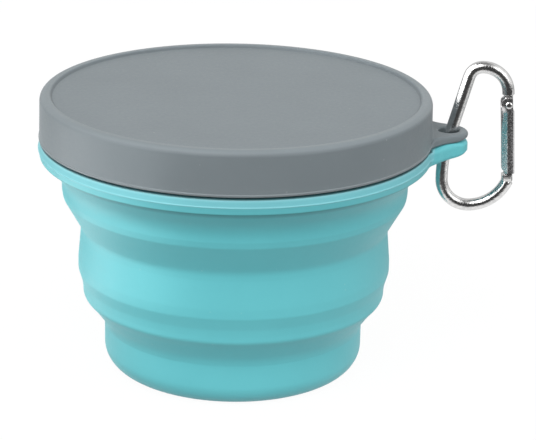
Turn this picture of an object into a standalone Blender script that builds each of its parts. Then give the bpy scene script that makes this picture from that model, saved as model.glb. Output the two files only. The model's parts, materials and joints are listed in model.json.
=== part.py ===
# Collapsible silicone bowl with a press-on lid and a carabiner.
# Metres, +Z up. The origin is the centre of the foot's underside, the tabs point along +X.

import math

import bpy
import bmesh
from mathutils import Matrix, Vector

# Detail and clearances
TURN_STEPS = 60          # facets round a turned piece
ROD_SIDES = 12           # facets round the carabiner's rod
HOLE_STEPS = 24          # facets round the tabs' holes
PIN_STEPS = 16           # facets round the rivet, its holes and the plunger
ARC_STEP = 12            # degrees of arc for each facet of a small bend
MERGE = 0.00001
GAP = 0.0003             # left between two pieces that touch

# Bowl foot
BASE_RADIUS = 0.0419
BASE_HEIGHT = 0.0160
BASE_WALL = 0.0024
FLOOR_THICKNESS = 0.0030
FOOT_ROUND = 0.0073
FLOOR_CORNER = 0.0045

# Folds, the thin stretches of the wall
FOLD_WALL = 0.0019       # measured level, across the slope
LOWER_FOLD_RISE = 0.0085
UPPER_FOLD_RISE = 0.0102
FOLD_CREASE = 0.0012     # height of the rounded stretch at a fold's wide end
FOLD_CREASE_SPREAD = 0.0005

# Middle ring
MIDDLE_FOOT_RADIUS = 0.0488
MIDDLE_RADIUS = 0.0504
MIDDLE_TOP_RADIUS = 0.0497
MIDDLE_HEIGHT = 0.0235
MIDDLE_FOOT_HEIGHT = 0.0055
MIDDLE_FOOT_SPREAD = 0.0006
MIDDLE_BEVEL_HEIGHT = 0.0040
MIDDLE_BELLY_HEIGHT = 0.0025
MIDDLE_TOP_EDGE = 0.0025
MIDDLE_WALL = 0.0023

# Rim: upright wall, flared underside, flange band and the collar that the lid grips
RIM_RADIUS = 0.0555
RIM_WALL_HEIGHT = 0.0063
RIM_WALL = 0.0024
RIM_FOOT_HEIGHT = 0.0015
RIM_FOOT_SPREAD = 0.0003
RIM_HAUNCH = 0.0010      # the wall's inside stays upright this far above the flare's start
FLARE_HEIGHT = 0.0067
FLANGE_HEIGHT = 0.0051
FLANGE_PROUD = 0.0005    # the flange stands this far outside the lid's skirt
FLANGE_CHAMFER = 0.0016  # height of the band's sloping lower part
FLANGE_CHAMFER_DEPTH = 0.0005
FLANGE_OVERHANG = 0.0011 # how far the band's foot hangs out over the flare
FLANGE_EDGE = 0.0004
COLLAR_HEIGHT = 0.0110
COLLAR_WALL = 0.0024
COLLAR_ROUND = 0.0006

# Lid
LID_RADIUS = 0.0625
LID_HEIGHT = 0.0144
LID_DRAFT = 0.0004
LID_WALL = 0.0022
LID_PANEL = 0.0020
LID_EDGE_ROUND = 0.0020
LID_BEAD_TOP = 0.0012    # level stretch on top of the bead
LID_RECESS = 0.0009      # the panel lies this far below the bead round it
LID_RECESS_SLOPE = 0.0008
LID_CLEARANCE = 0.0005   # between the skirt and the collar

# Tabs of the lid and the rim
TAB_LENGTH = 0.0112      # from the flange's edge to the tabs' tip
TAB_END_RADIUS = 0.0067
LID_TAB_FLARE = 0.0140
RIM_TAB_FLARE = 0.0200
LID_TAB_ROOT = 0.0033    # thickness beside the skirt
LID_TAB_TIP = 0.0022
RIM_TAB_ROOT = 0.0050    # thickness beside the flange
RIM_TAB_TIP = 0.0036
TAB_EDGE_ROUND = 0.0009
TAB_HOLE_INSET = 0.0063  # from the tabs' tip to the middle of their holes
TAB_HOLE_RADIUS = 0.0034

# Carabiner body, a bent rod
ROD_RADIUS = 0.00195
ROD_END_RUN = 0.0011     # straight run above the rod's end face
TOP_GATE_BEND = 0.00835
TOP_SPINE_BEND = 0.0042
SPINE_LEAN = 18.4        # degrees between the straight spine and the gate
SPINE_BOW_RADIUS = 0.0440
SPINE_BOW_TURN = 17.2    # degrees
BOTTOM_BEND = 0.00885
NOSE_BEND = 0.0135
NOSE_TURN = 70.0         # degrees
HANG_LEAN = 3.0          # degrees that the whole carabiner leans as it hangs
TONGUE_THICKNESS = 0.0023
TONGUE_RADIUS = 0.00150
NOSE_WIDTH = 0.0033
NOSE_THICKNESS = 0.0036
NOSE_HEIGHT = 0.0020
NOSE_RISE = 0.0012       # from the middle of the rod's end to the nose's flat top
CATCH_THICKNESS = 0.0014
CATCH_HEIGHT = 0.0020

# Gate, a bent channel
GATE_WIDTH = 0.0041
GATE_THICKNESS = 0.0041
GATE_WALL = 0.00055
GATE_TOP_GAP = 0.0008    # between the rod's end face and the gate
GATE_BACK_ROUND = 0.0013 # round of the channel's outer edges
GATE_EAR_ROUND = 0.0014
GATE_HEEL_ROUND = 0.0009
GATE_HEEL_STEP = 0.0010  # the channel's free edges end this much above its back
GATE_SHELF = 0.0010      # crimped wall that the spring stands on
GATE_NOTCH_CLEARANCE = 0.0007

# Rivet, spring and plunger
RIVET_DROP = 0.0029      # from the rod's end face to the rivet's axis
RIVET_RADIUS = 0.0007
RIVET_CLEARANCE = 0.0002
RIVET_HEAD_RADIUS = 0.00115
RIVET_HEAD_HEIGHT = 0.00045
SPRING_RADIUS = 0.00095  # to the middle of the wire
SPRING_OFFSET = -0.0002  # from the gate's middle line, towards the inside of the loop
SPRING_WIRE = 0.00016
SPRING_TURNS = 11
SPRING_TURN_STEPS = 10
SPRING_WIRE_SIDES = 5
PLUNGER_RADIUS = 0.00110
PLUNGER_LENGTH = 0.0017
PLUNGER_DOME = 0.0005

# Heights and radii that follow from the sizes above
MIDDLE_BOTTOM = BASE_HEIGHT + LOWER_FOLD_RISE
MIDDLE_TOP = MIDDLE_BOTTOM + MIDDLE_HEIGHT
RIM_BOTTOM = MIDDLE_TOP + UPPER_FOLD_RISE
FLARE_BOTTOM = RIM_BOTTOM + RIM_WALL_HEIGHT
FLANGE_BOTTOM = FLARE_BOTTOM + FLARE_HEIGHT
FLANGE_TOP = FLANGE_BOTTOM + FLANGE_HEIGHT
LID_BOTTOM = FLANGE_TOP + GAP
LID_TOP = LID_BOTTOM + LID_HEIGHT
PANEL_TOP = LID_TOP - LID_RECESS
PANEL_BOTTOM = PANEL_TOP - LID_PANEL
FLANGE_RADIUS = LID_RADIUS + FLANGE_PROUD
FLANGE_FOOT_RADIUS = FLANGE_RADIUS - FLANGE_CHAMFER_DEPTH
FLARE_RADIUS = FLANGE_FOOT_RADIUS - FLANGE_OVERHANG
TAB_REACH = FLANGE_RADIUS + TAB_LENGTH
TAB_HOLE_REACH = TAB_REACH - TAB_HOLE_INSET
SKIRT_INNER_RADIUS = LID_RADIUS - LID_WALL
COLLAR_RADIUS = SKIRT_INNER_RADIUS - LID_CLEARANCE
RIM_FOOT_RADIUS = RIM_RADIUS - RIM_FOOT_SPREAD
RIVET_HOLE_RADIUS = RIVET_RADIUS + RIVET_CLEARANCE

TURQUOISE = (0.155, 0.535, 0.580, 1.0)
GREY = (0.230, 0.265, 0.280, 1.0)
BRIGHT_METAL = (0.72, 0.72, 0.73, 1.0)
DULL_STEEL = (0.45, 0.45, 0.46, 1.0)


def arc(centre, radius, start, end):
    """Points on an arc in a plane, both ends included; angles in degrees."""
    steps = max(2, math.ceil(abs(end - start) / ARC_STEP))
    points = []
    for k in range(steps + 1):
        angle = math.radians(start + (end - start) * k / steps)
        points.append((centre[0] + radius * math.cos(angle), centre[1] + radius * math.sin(angle)))
    return points


def wall_outline(outer, wall):
    """Close a wall by repeating its outer line further in."""
    inner = [(radius - wall, height) for radius, height in reversed(outer)]
    return outer + inner


def material(name, colour, roughness, metallic):
    made = bpy.data.materials.new(name)
    made.use_nodes = True
    shader = made.node_tree.nodes["Principled BSDF"]
    shader.inputs["Base Color"].default_value = colour
    shader.inputs["Roughness"].default_value = roughness
    shader.inputs["Metallic"].default_value = metallic
    return made


def add_object(name, bm, finish=None, sharp_angle=35):
    """Turn a bmesh into a smooth-shaded object with its material."""
    bmesh.ops.remove_doubles(bm, verts=bm.verts, dist=MERGE)
    bmesh.ops.recalc_face_normals(bm, faces=bm.faces)
    mesh = bpy.data.meshes.new(name)
    bm.to_mesh(mesh)
    bm.free()
    mesh.shade_smooth()
    mesh.set_sharp_from_angle(angle=math.radians(sharp_angle))
    if finish:
        mesh.materials.append(finish)
    made = bpy.data.objects.new(name, mesh)
    bpy.context.collection.objects.link(made)
    return made


def add_tool(name, bm):
    """A hidden shape that a Boolean joins to a piece or cuts from it."""
    tool = add_object(name, bm)
    tool.hide_render = True
    tool.display_type = "WIRE"
    return tool


def combine(piece, tool, operation):
    step = piece.modifiers.new(tool.name, "BOOLEAN")
    step.operation = operation
    step.solver = "EXACT"
    step.object = tool
    tool.parent = piece


def turned(outline, closed=False, steps=TURN_STEPS):
    """Spin an outline of (radius, height) points round the Z axis."""
    bm = bmesh.new()
    verts = [bm.verts.new((radius, 0, height)) for radius, height in outline]
    edges = [bm.edges.new(pair) for pair in zip(verts, verts[1:])]
    if closed:
        edges.append(bm.edges.new((verts[-1], verts[0])))
    bmesh.ops.spin(
        bm,
        geom=verts + edges,
        cent=(0, 0, 0),
        axis=(0, 0, 1),
        angle=2 * math.pi,
        steps=steps,
        use_merge=True,
    )
    return bm


def plate(outline, low, high, upright=False):
    """Extrude an outline along Z, or along Y where it is given as (x, z)."""
    bm = bmesh.new()
    if upright:
        verts = [bm.verts.new((x, low, z)) for x, z in outline]
        push = Vector((0, high - low, 0))
    else:
        verts = [bm.verts.new((x, y, low)) for x, y in outline]
        push = Vector((0, 0, high - low))
    face = bm.faces.new(verts)
    extruded = bmesh.ops.extrude_face_region(bm, geom=[face])
    moved = [item for item in extruded["geom"] if isinstance(item, bmesh.types.BMVert)]
    bmesh.ops.translate(bm, verts=moved, vec=push)
    return bm


def box(x_range, y_range, z_range):
    left, right = x_range
    front, back = y_range
    return plate([(left, front), (right, front), (right, back), (left, back)], *z_range)


def round_bar(radius, low, high, segments, centre=(0, 0), along="Z"):
    """A cylinder along Z or Y; its centre is given in the plane across it."""
    outline = [(centre[0] + radius * math.cos(2 * math.pi * k / segments),
                centre[1] + radius * math.sin(2 * math.pi * k / segments)) for k in range(segments)]
    return plate(outline, low, high, upright=along == "Y")


def swept_rod(path, radius, sides):
    """Carry a circle along a path of (x, z) points in the XZ plane and cap both ends."""
    bm = bmesh.new()
    rings = []
    for k, point in enumerate(path):
        before = Vector(path[max(k - 1, 0)])
        after = Vector(path[min(k + 1, len(path) - 1)])
        run = (after - before).normalized()
        across = Vector((-run.y, 0, run.x))
        ring = []
        for side in range(sides):
            angle = 2 * math.pi * side / sides
            offset = across * radius * math.cos(angle) + Vector((0, 1, 0)) * radius * math.sin(angle)
            ring.append(bm.verts.new(Vector((point[0], 0, point[1])) + offset))
        rings.append(ring)
    for ring, following in zip(rings, rings[1:]):
        for side in range(sides):
            turn = (side + 1) % sides
            bm.faces.new((ring[side], ring[turn], following[turn], following[side]))
    bm.faces.new(rings[0])
    bm.faces.new(reversed(rings[-1]))
    return bm


def base_cup(finish):
    """Foot ring and floor: the part that stands on the table."""
    top = BASE_HEIGHT - GAP / 2
    inner = BASE_RADIUS - BASE_WALL
    outline = [(0, 0)]
    outline += arc((BASE_RADIUS - FOOT_ROUND, FOOT_ROUND), FOOT_ROUND, -90, 0)
    outline += [(BASE_RADIUS, top), (inner, top)]
    outline += arc((inner - FLOOR_CORNER, FLOOR_THICKNESS + FLOOR_CORNER), FLOOR_CORNER, 0, -90)
    outline += [(0, FLOOR_THICKNESS)]
    return add_object("base_cup", turned(outline), finish)


def fold(name, bottom, rise, bottom_radius, top_radius, finish):
    """Thin sloping wall between two rings, rounded where it meets the wider ring."""
    low = bottom + GAP / 2
    high = bottom + rise - GAP / 2
    crease = high - FOLD_CREASE
    crease_radius = top_radius - FOLD_CREASE_SPREAD
    outer = [(bottom_radius, low), (crease_radius, crease), (top_radius, high)]
    return add_object(name, turned(wall_outline(outer, FOLD_WALL), closed=True), finish)


def middle_ring(finish):
    """Upright ring between the two folds, with a slightly swollen middle."""
    low = MIDDLE_BOTTOM + GAP / 2
    foot = MIDDLE_BOTTOM + MIDDLE_FOOT_HEIGHT
    belly = foot + MIDDLE_BEVEL_HEIGHT
    high = MIDDLE_TOP - GAP / 2
    outer = [
        (MIDDLE_FOOT_RADIUS, low),
        (MIDDLE_FOOT_RADIUS + MIDDLE_FOOT_SPREAD, foot),
        (MIDDLE_RADIUS, belly),
        (MIDDLE_RADIUS, belly + MIDDLE_BELLY_HEIGHT),
        (MIDDLE_TOP_RADIUS, high - MIDDLE_TOP_EDGE),
        (MIDDLE_TOP_RADIUS, high),
    ]
    return add_object("middle_ring", turned(wall_outline(outer, MIDDLE_WALL), closed=True), finish)


def tab_outline(body_radius, root_radius, flare):
    """Outline of a tab seen from above: a round end that flares into the round wall.

    Each flare is an arc that touches both the tab's end circle and the wall's circle.
    """
    end = TAB_REACH - TAB_END_RADIUS
    to_body = body_radius + flare
    to_end = TAB_END_RADIUS + flare
    flare_x = (to_body ** 2 - to_end ** 2 + end ** 2) / (2 * end)
    flare_y = math.sqrt(to_body ** 2 - flare_x ** 2)
    body_angle = math.degrees(math.atan2(flare_y, flare_x))
    end_angle = math.degrees(math.atan2(flare_y, flare_x - end))
    outline = arc((0, 0), root_radius, body_angle, -body_angle)
    outline += arc((flare_x, -flare_y), flare, 180 - body_angle, 180 - end_angle)
    outline += arc((end, 0), TAB_END_RADIUS, -end_angle, end_angle)
    outline += arc((flare_x, flare_y), flare, end_angle - 180, body_angle - 180)
    return outline


def add_tab(piece, top, root_thickness, tip_thickness, body_radius, root_radius, flare):
    """Join a tab to a turned piece and cut the carabiner's hole through it.

    The tab's top is level and its underside rises evenly towards the tip.
    """
    outline = tab_outline(body_radius, root_radius, flare)
    low = top - root_thickness
    bm = plate(outline, low, top)
    start = min(x for x, y in outline)
    for vert in bm.verts:
        if vert.co.z < low + MERGE:
            along = (vert.co.x - start) / (TAB_REACH - start)
            vert.co.z = low + along * (root_thickness - tip_thickness)
    tab = add_tool(piece.name + "_tab", bm)
    rounding = tab.modifiers.new("edge", "BEVEL")
    rounding.width = TAB_EDGE_ROUND
    rounding.segments = 2
    rounding.limit_method = "ANGLE"
    rounding.angle_limit = math.radians(60)
    combine(piece, tab, "UNION")
    past = root_thickness
    hole = round_bar(TAB_HOLE_RADIUS, low - past, top + past, HOLE_STEPS, (TAB_HOLE_REACH, 0))
    combine(piece, add_tool(piece.name + "_hole", hole), "DIFFERENCE")


def bowl_rim(finish):
    """Upper wall, flared flange, tab, and the collar that fits inside the lid."""
    low = RIM_BOTTOM + GAP / 2
    collar_top = FLANGE_TOP + COLLAR_HEIGHT
    collar_inner = COLLAR_RADIUS - COLLAR_WALL
    wall_inner = RIM_RADIUS - RIM_WALL
    band = FLANGE_BOTTOM + FLANGE_CHAMFER
    outline = [
        (RIM_FOOT_RADIUS, low),
        (RIM_RADIUS, low + RIM_FOOT_HEIGHT),
        (RIM_RADIUS, FLARE_BOTTOM),
        (FLARE_RADIUS, FLANGE_BOTTOM),
        (FLANGE_FOOT_RADIUS, FLANGE_BOTTOM),
        (FLANGE_RADIUS, band),
        (FLANGE_RADIUS, FLANGE_TOP - FLANGE_EDGE),
        (FLANGE_RADIUS - FLANGE_EDGE, FLANGE_TOP),
        (COLLAR_RADIUS, FLANGE_TOP),
    ]
    outline += arc((COLLAR_RADIUS - COLLAR_ROUND, collar_top - COLLAR_ROUND), COLLAR_ROUND, 0, 90)
    outline += arc((collar_inner + COLLAR_ROUND, collar_top - COLLAR_ROUND), COLLAR_ROUND, 90, 180)
    outline += [
        (collar_inner, band),
        (wall_inner, FLARE_BOTTOM + RIM_HAUNCH),
        (wall_inner, low),
    ]
    piece = add_object("bowl_rim", turned(outline, closed=True), finish)
    root = (FLANGE_RADIUS + collar_inner) / 2
    add_tab(piece, FLANGE_TOP, RIM_TAB_ROOT, RIM_TAB_TIP, FLANGE_RADIUS - FLANGE_EDGE, root, RIM_TAB_FLARE)
    return piece


def lid(finish, hinge):
    """Cap with a rounded edge and a sunken panel; its origin is on the line it lifts about."""
    top_radius = LID_RADIUS - LID_DRAFT
    bead = top_radius - LID_EDGE_ROUND
    ledge = bead - LID_BEAD_TOP
    outline = [(0, PANEL_TOP), (ledge - LID_RECESS_SLOPE, PANEL_TOP), (ledge, LID_TOP)]
    outline += arc((bead, LID_TOP - LID_EDGE_ROUND), LID_EDGE_ROUND, 90, 0)
    outline += [
        (LID_RADIUS, LID_BOTTOM),
        (SKIRT_INNER_RADIUS, LID_BOTTOM),
        (SKIRT_INNER_RADIUS, PANEL_BOTTOM),
        (0, PANEL_BOTTOM),
    ]
    bm = turned(outline)
    piece = add_object("lid", bm, finish)
    root = LID_RADIUS - LID_WALL / 2
    tab_top = LID_BOTTOM + LID_TAB_ROOT
    add_tab(piece, tab_top, LID_TAB_ROOT, LID_TAB_TIP, LID_RADIUS - LID_DRAFT, root, LID_TAB_FLARE)
    piece.data.transform(Matrix.Translation(-hinge))
    piece.location = hinge
    for step in piece.modifiers:
        step.object.location = -hinge
    return piece


def walk(start, heading, moves):
    """Follow straight runs (length,) and left-hand bends (radius, turn) from a point; turns in degrees."""
    points = [start]
    for move in moves:
        x, z = points[-1]
        if len(move) == 1:
            points.append((x + move[0] * math.cos(math.radians(heading)),
                           z + move[0] * math.sin(math.radians(heading))))
        else:
            radius, turn = move
            side = math.radians(heading + 90)
            centre = (x + radius * math.cos(side), z + radius * math.sin(side))
            points += arc(centre, radius, heading - 90, heading - 90 + turn)[1:]
            heading += turn
    return points


def rod_moves(spine_run):
    """The carabiner's rod from its end above the gate, over the top and down to the nose."""
    return [
        (ROD_END_RUN,),
        (TOP_GATE_BEND, 90),
        (TOP_SPINE_BEND, 90 - SPINE_LEAN),
        (spine_run,),
        (SPINE_BOW_RADIUS, SPINE_BOW_TURN),
        (BOTTOM_BEND, 90 + SPINE_LEAN - SPINE_BOW_TURN),
        (NOSE_BEND, NOSE_TURN),
    ]


def rod_path():
    """Path of the rod in its own plane, the centre of the rod's end face at (0, 0), gate below it.

    The straight spine is as long as it takes for the nose to come back under the rod's end.
    The second value is the spine's lower end, where the tabs hold the carabiner.
    """
    short = walk((0, 0), 90, rod_moves(0))
    spine_run = short[-1][0] / math.sin(math.radians(SPINE_LEAN))
    moves = rod_moves(spine_run)
    return walk((0, 0), 90, moves), walk((0, 0), 90, moves[:4])[-1]


def carabiner_body(finish, path, nose_top):
    """Bent rod, its flattened tongue above the gate, and the nose block that the gate meets."""
    piece = add_object("carabiner_body", swept_rod(path, ROD_RADIUS, ROD_SIDES), finish)
    rivet = (0, -RIVET_DROP)
    tongue_outline = arc(rivet, TONGUE_RADIUS, -180, 0)
    tongue_outline += [(TONGUE_RADIUS, ROD_RADIUS / 2), (-TONGUE_RADIUS, ROD_RADIUS / 2)]
    tongue = plate(tongue_outline, -TONGUE_THICKNESS / 2, TONGUE_THICKNESS / 2, upright=True)
    combine(piece, add_tool("tongue", tongue), "UNION")
    hole = round_bar(RIVET_HOLE_RADIUS, -ROD_RADIUS * 2, ROD_RADIUS * 2, PIN_STEPS, rivet, along="Y")
    combine(piece, add_tool("tongue_hole", hole), "DIFFERENCE")
    nose = box((-NOSE_WIDTH / 2, NOSE_WIDTH / 2), (-NOSE_THICKNESS / 2, NOSE_THICKNESS / 2),
               (nose_top - NOSE_HEIGHT, nose_top))
    nose_tool = add_tool("nose", nose)
    rounding = nose_tool.modifiers.new("edge", "BEVEL")
    rounding.width = NOSE_HEIGHT / 5
    rounding.segments = 1
    combine(piece, nose_tool, "UNION")
    catch = box((-NOSE_WIDTH / 4, NOSE_WIDTH / 2 - GAP), (-CATCH_THICKNESS / 2, CATCH_THICKNESS / 2),
                (nose_top - NOSE_HEIGHT / 2, nose_top + CATCH_HEIGHT))
    combine(piece, add_tool("catch", catch), "UNION")
    return piece


def carabiner_gate(finish, gate_top, gate_bottom):
    """Bent channel, open towards the inside of the loop; heights are measured from the rivet.

    The second value is the height of the shelf that the spring stands on.
    """
    outer = ROD_RADIUS - GAP / 2
    inner = outer - GATE_WIDTH
    heel = gate_bottom + GATE_HEEL_STEP
    heel_x = inner + GATE_HEEL_ROUND
    outline = [(outer, gate_bottom), (outer, gate_top)]
    outline += arc((inner + GATE_EAR_ROUND, gate_top - GATE_EAR_ROUND), GATE_EAR_ROUND, 90, 180)
    outline += arc((heel_x, heel + GATE_HEEL_ROUND), GATE_HEEL_ROUND, 180, 270)
    outline += [(heel_x, gate_bottom)]
    half = GATE_THICKNESS / 2
    bm = plate(outline, -half, half, upright=True)
    back = [edge for edge in bm.edges
            if all(abs(vert.co.x - outer) < MERGE for vert in edge.verts)
            and abs(edge.verts[0].co.y - edge.verts[1].co.y) < MERGE]
    bmesh.ops.bevel(bm, geom=back, offset=GATE_BACK_ROUND, segments=4, profile=0.5, affect="EDGES")
    piece = add_object("carabiner_gate", bm, finish)

    inside = half - GATE_WALL
    far = GATE_WIDTH * 2
    notch_low = -TONGUE_RADIUS - GATE_NOTCH_CLEARANCE
    shelf = gate_bottom + CATCH_HEIGHT + 2 * GATE_NOTCH_CLEARANCE
    cuts = {
        "gate_channel": box((inner - far, outer - GATE_WALL), (-inside, inside),
                            (shelf + GATE_SHELF, gate_top + far)),
        "gate_hinge_slot": box((inner - far, outer + far), (-inside, inside), (notch_low, gate_top + far)),
        "gate_foot": box((inner - far, outer - GATE_WALL), (-inside, inside), (gate_bottom - far, shelf)),
        "gate_catch_slot": box((inner, outer + far), (-CATCH_THICKNESS / 2 - GAP, CATCH_THICKNESS / 2 + GAP),
                               (gate_bottom - far, shelf - GATE_NOTCH_CLEARANCE)),
        "gate_rivet_hole": round_bar(RIVET_HOLE_RADIUS, -far, far, PIN_STEPS, along="Y"),
    }
    for name, cutter in cuts.items():
        combine(piece, add_tool(name, cutter), "DIFFERENCE")
    return piece, shelf + GATE_SHELF


def gate_rivet(finish):
    """Pin with a low domed head at each end, along Y."""
    half = GATE_THICKNESS / 2 + GAP
    dome = [(RIVET_HEAD_RADIUS * math.cos(angle), half + RIVET_HEAD_HEIGHT * math.sin(angle))
            for angle in (0, math.pi / 6, math.pi / 3)]
    upper = [(RIVET_RADIUS, half)] + dome + [(0, half + RIVET_HEAD_HEIGHT)]
    lower = [(radius, -height) for radius, height in reversed(upper)]
    bm = turned(lower + upper, steps=PIN_STEPS)
    bmesh.ops.rotate(bm, verts=bm.verts, cent=(0, 0, 0), matrix=Matrix.Rotation(math.pi / 2, 3, "X"))
    return add_object("gate_rivet", bm, finish)


def gate_spring(finish, low, high):
    """Coil spring standing in the gate's channel."""
    bm = bmesh.new()
    rings = []
    steps = SPRING_TURNS * SPRING_TURN_STEPS
    first = low + SPRING_WIRE
    rise = high - low - 2 * SPRING_WIRE
    for k in range(steps + 1):
        angle = 2 * math.pi * k / SPRING_TURN_STEPS
        out = Vector((math.cos(angle), math.sin(angle), 0))
        centre = out * SPRING_RADIUS + Vector((0, 0, first + rise * k / steps))
        ring = []
        for side in range(SPRING_WIRE_SIDES):
            turn = 2 * math.pi * side / SPRING_WIRE_SIDES
            offset = out * math.cos(turn) + Vector((0, 0, math.sin(turn)))
            ring.append(bm.verts.new(centre + SPRING_WIRE * offset))
        rings.append(ring)
    for ring, following in zip(rings, rings[1:]):
        for side in range(SPRING_WIRE_SIDES):
            turn = (side + 1) % SPRING_WIRE_SIDES
            bm.faces.new((ring[side], ring[turn], following[turn], following[side]))
    bm.faces.new(rings[0])
    bm.faces.new(reversed(rings[-1]))
    return add_object("gate_spring", bm, finish)


def gate_plunger(finish, top):
    """Small cap on the spring; its domed end faces the tongue."""
    shoulder = top - PLUNGER_DOME
    outline = [(0, top), (PLUNGER_RADIUS * 0.6, top - PLUNGER_DOME * 0.3), (PLUNGER_RADIUS, shoulder),
               (PLUNGER_RADIUS, top - PLUNGER_LENGTH), (0, top - PLUNGER_LENGTH)]
    return add_object("gate_plunger", turned(outline, steps=PIN_STEPS), finish)


def build():
    for old in list(bpy.data.objects):
        bpy.data.objects.remove(old, do_unlink=True)

    turquoise = material("turquoise_silicone", TURQUOISE, 0.5, 0)
    grey = material("grey_silicone", GREY, 0.5, 0)
    bright = material("bright_metal", BRIGHT_METAL, 0.15, 1)
    dull = material("spring_steel", DULL_STEEL, 0.3, 1)

    base_cup(turquoise)
    fold("lower_fold", BASE_HEIGHT, LOWER_FOLD_RISE, BASE_RADIUS, MIDDLE_FOOT_RADIUS, turquoise)
    middle_ring(turquoise)
    fold("upper_fold", MIDDLE_TOP, UPPER_FOLD_RISE, MIDDLE_TOP_RADIUS, RIM_FOOT_RADIUS, turquoise)
    bowl_rim(turquoise)
    lid(grey, Vector((TAB_REACH, 0, LID_BOTTOM + LID_TAB_ROOT - LID_TAB_TIP)))

    # The carabiner hangs in the tabs' holes from the lower end of its spine
    path, grip = rod_path()
    swivel = bpy.data.objects.new("carabiner_swivel", None)
    bpy.context.collection.objects.link(swivel)
    swivel.location = (TAB_HOLE_REACH, 0, FLANGE_TOP + GAP / 2)
    swivel.rotation_euler = (0, -math.radians(HANG_LEAN), 0)
    nose_top = path[-1][1] + NOSE_RISE
    body = carabiner_body(bright, path, nose_top)
    body.parent = swivel
    body.location = (-grip[0], 0, -grip[1])

    # The gate and what it holds are measured from the rivet
    rivet = gate_rivet(bright)
    gate, shelf = carabiner_gate(bright, RIVET_DROP - GATE_TOP_GAP, nose_top + GAP + RIVET_DROP)
    plunger_top = -TONGUE_RADIUS - GAP
    plunger = gate_plunger(dull, plunger_top)
    spring = gate_spring(dull, shelf + GAP, plunger_top - PLUNGER_LENGTH - GAP)
    for piece in (rivet, gate):
        piece.parent = swivel
        piece.location = (-grip[0], 0, -grip[1] - RIVET_DROP)
    for piece in (plunger, spring):
        piece.parent = gate
        piece.location = (SPRING_OFFSET, 0, 0)


build()
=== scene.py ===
# Collapsible silicone bowl with a press-on lid and a carabiner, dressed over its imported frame.
# Metres, +Z up, the tabs and the carabiner towards +X.
import json
import math

import bpy
import numpy as np
from mathutils import Matrix, Vector


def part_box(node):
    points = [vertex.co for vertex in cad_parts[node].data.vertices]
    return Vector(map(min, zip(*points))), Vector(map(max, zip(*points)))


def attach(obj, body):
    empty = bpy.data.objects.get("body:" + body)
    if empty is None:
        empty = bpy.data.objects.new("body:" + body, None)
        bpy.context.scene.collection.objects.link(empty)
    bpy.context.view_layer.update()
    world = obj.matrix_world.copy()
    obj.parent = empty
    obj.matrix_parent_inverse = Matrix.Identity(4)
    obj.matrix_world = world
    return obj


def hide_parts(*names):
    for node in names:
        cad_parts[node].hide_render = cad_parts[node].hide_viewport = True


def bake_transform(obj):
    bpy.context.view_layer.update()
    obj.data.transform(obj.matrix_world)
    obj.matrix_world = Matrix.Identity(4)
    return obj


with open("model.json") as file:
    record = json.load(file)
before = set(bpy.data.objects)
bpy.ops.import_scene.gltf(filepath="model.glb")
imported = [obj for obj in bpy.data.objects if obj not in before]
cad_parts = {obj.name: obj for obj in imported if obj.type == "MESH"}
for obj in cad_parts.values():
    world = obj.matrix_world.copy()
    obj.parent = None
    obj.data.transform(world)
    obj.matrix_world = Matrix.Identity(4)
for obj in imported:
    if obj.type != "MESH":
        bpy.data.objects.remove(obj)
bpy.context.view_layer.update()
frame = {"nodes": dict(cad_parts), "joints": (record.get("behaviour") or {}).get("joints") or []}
joints = {joint["name"]: joint for joint in frame["joints"]}
print("frame loaded:", ", ".join(sorted(frame["nodes"])))


# Surfaces: a grid of points, rows along a profile or path and columns round it

tiny = 1e-7  # points closer together than this are one


def linked(name, data):
    made = bpy.data.objects.new(name, data)
    bpy.context.collection.objects.link(made)
    return made


def smoothed(mesh, sharpAngle=40):
    mesh.shade_smooth()
    mesh.set_sharp_from_angle(angle=math.radians(sharpAngle))


def gridPiece(name, grid, loop=False, sharpAngle=40):
    # Quads join neighbouring rows and columns, and the columns close on themselves. With loop the last
    # row joins the first; otherwise a fan to its middle point closes each end. A negative volume is
    # turned round, so faces point outwards.
    rows, cols = grid.shape[:2]
    index = np.arange(rows * cols).reshape(rows, cols)
    below = index if loop else index[:-1]
    above = np.roll(index, -1, 0) if loop else index[1:]
    quads = np.stack([below, np.roll(below, -1, 1), np.roll(above, -1, 1), above], -1).reshape(-1, 4)
    points = grid.reshape(-1, 3)
    faces = quads.tolist()
    triangles = np.vstack([quads[:, [0, 1, 2]], quads[:, [0, 2, 3]]])
    if not loop:
        points = np.vstack([points, grid[0].mean(0), grid[-1].mean(0)])
        first = np.stack([np.roll(index[0], -1), index[0], np.full(cols, len(points) - 2)], -1)
        last = np.stack([index[-1], np.roll(index[-1], -1), np.full(cols, len(points) - 1)], -1)
        faces += first.tolist() + last.tolist()
        triangles = np.vstack([triangles, first, last])
    a, b, c = points[triangles.T]
    if np.einsum("ij,ij->", a, np.cross(b, c)) < 0:
        faces = [face[::-1] for face in faces]
    mesh = bpy.data.meshes.new(name)
    mesh.from_pydata(points.tolist(), [], faces)
    mesh.validate()
    smoothed(mesh, sharpAngle)
    return linked(name, mesh)


def fullTurn(count):
    # Evenly spaced angles from 0 to a full turn, which is left out.
    return np.linspace(0, 2 * math.pi, count, endpoint=False)


def around(radius, height, angles):
    # Point = (radius cos angle, radius sin angle, height); radius and height are rows, or rows by columns.
    radius, height = (part.reshape(len(part), -1) for part in (radius, height))
    x, y = radius * np.cos(angles), radius * np.sin(angles)
    return np.stack([x, y, height + np.zeros_like(x)], -1)


def unit(vector):
    return vector / np.linalg.norm(vector)


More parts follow.
